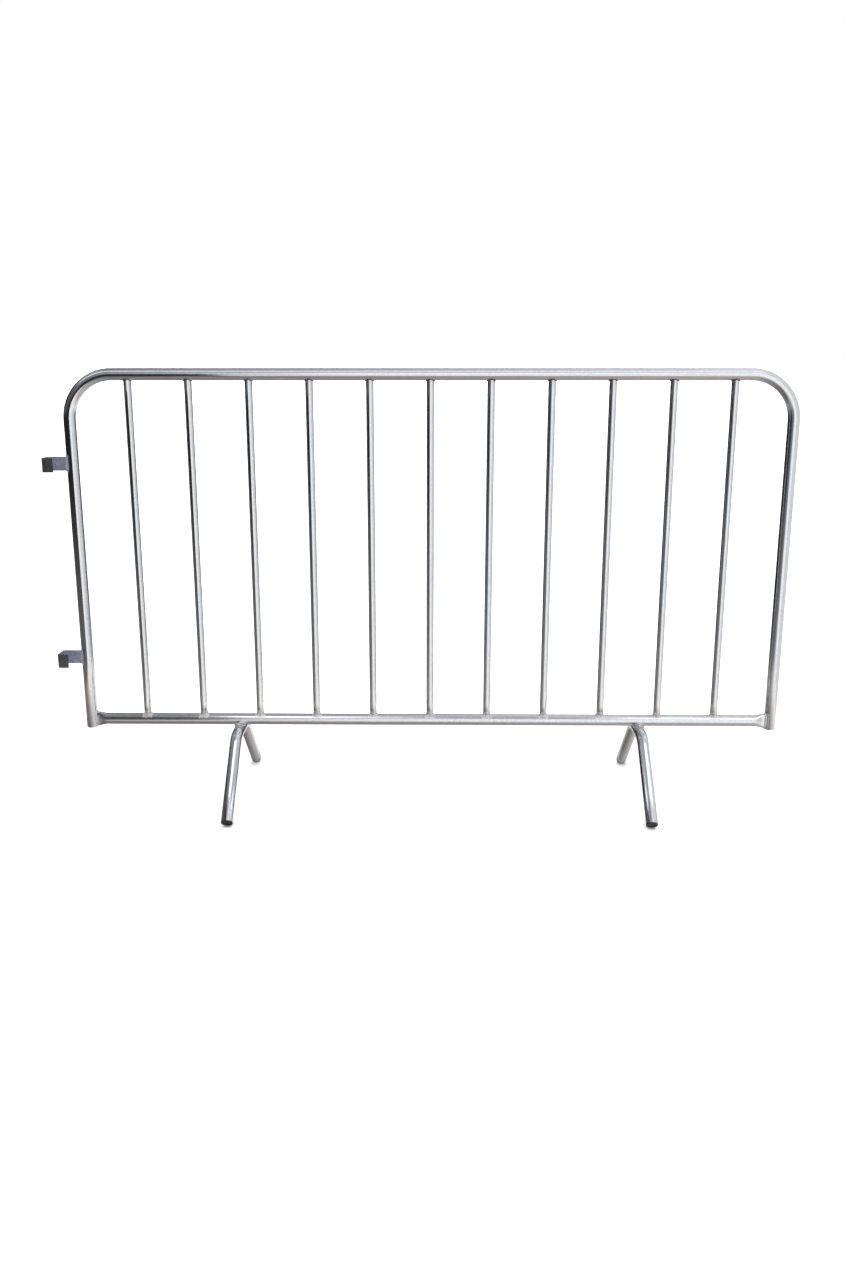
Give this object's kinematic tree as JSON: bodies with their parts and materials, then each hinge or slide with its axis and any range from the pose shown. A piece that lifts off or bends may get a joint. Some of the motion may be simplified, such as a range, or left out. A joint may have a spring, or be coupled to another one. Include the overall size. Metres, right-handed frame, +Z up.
{
  "type": "crowd control barrier",
  "caption": "Free-standing steel crowd barrier: a round-cornered tubular panel with upright bars, two bent splayed legs, and two hooks at one end that couple to the next barrier.",
  "frame": {"origin": "on the ground, midway along the overall length, which runs from the hooks' outer face to the plain post's outer side, and midway between the front and rear feet", "axes": "+X along the panel from the hooked post to the plain post, +Z up, and the hooks' jaws reach towards -Y"},
  "size_m": [2.023, 0.5322, 1.2],
  "materials": {
    "galvanised_tube": "bright pre-galvanised steel tube, smooth, with faint lengthwise streaks",
    "galvanised_flat_bar": "dull bluish grey zinc coating on flat bar",
    "weld_metal": "weld beads under a brushed coat of zinc paint",
    "black_plastic": "moulded black polyethylene"
  },
  "bodies": {
    "root": {"frame_hoop": "galvanised_tube", "bottom_rail": "galvanised_tube", "bar_01": "galvanised_tube", "bar_02": "galvanised_tube", "bar_03": "galvanised_tube", "bar_04": "galvanised_tube", "bar_05": "galvanised_tube", "bar_06": "galvanised_tube", "bar_07": "galvanised_tube", "bar_08": "galvanised_tube", "bar_09": "galvanised_tube", "bar_10": "galvanised_tube", "bar_11": "galvanised_tube", "leg_left": "galvanised_tube", "leg_right": "galvanised_tube", "hook_upper": "galvanised_flat_bar", "hook_lower": "galvanised_flat_bar", "foot_plug_left_front": "black_plastic", "foot_plug_left_rear": "black_plastic", "foot_plug_right_front": "black_plastic", "foot_plug_right_rear": "black_plastic", "bar_welds_top": "weld_metal", "bar_welds_bottom": "weld_metal", "rail_end_welds": "weld_metal", "leg_welds": "weld_metal", "hook_welds": "weld_metal"}
  },
  "joints": []
}
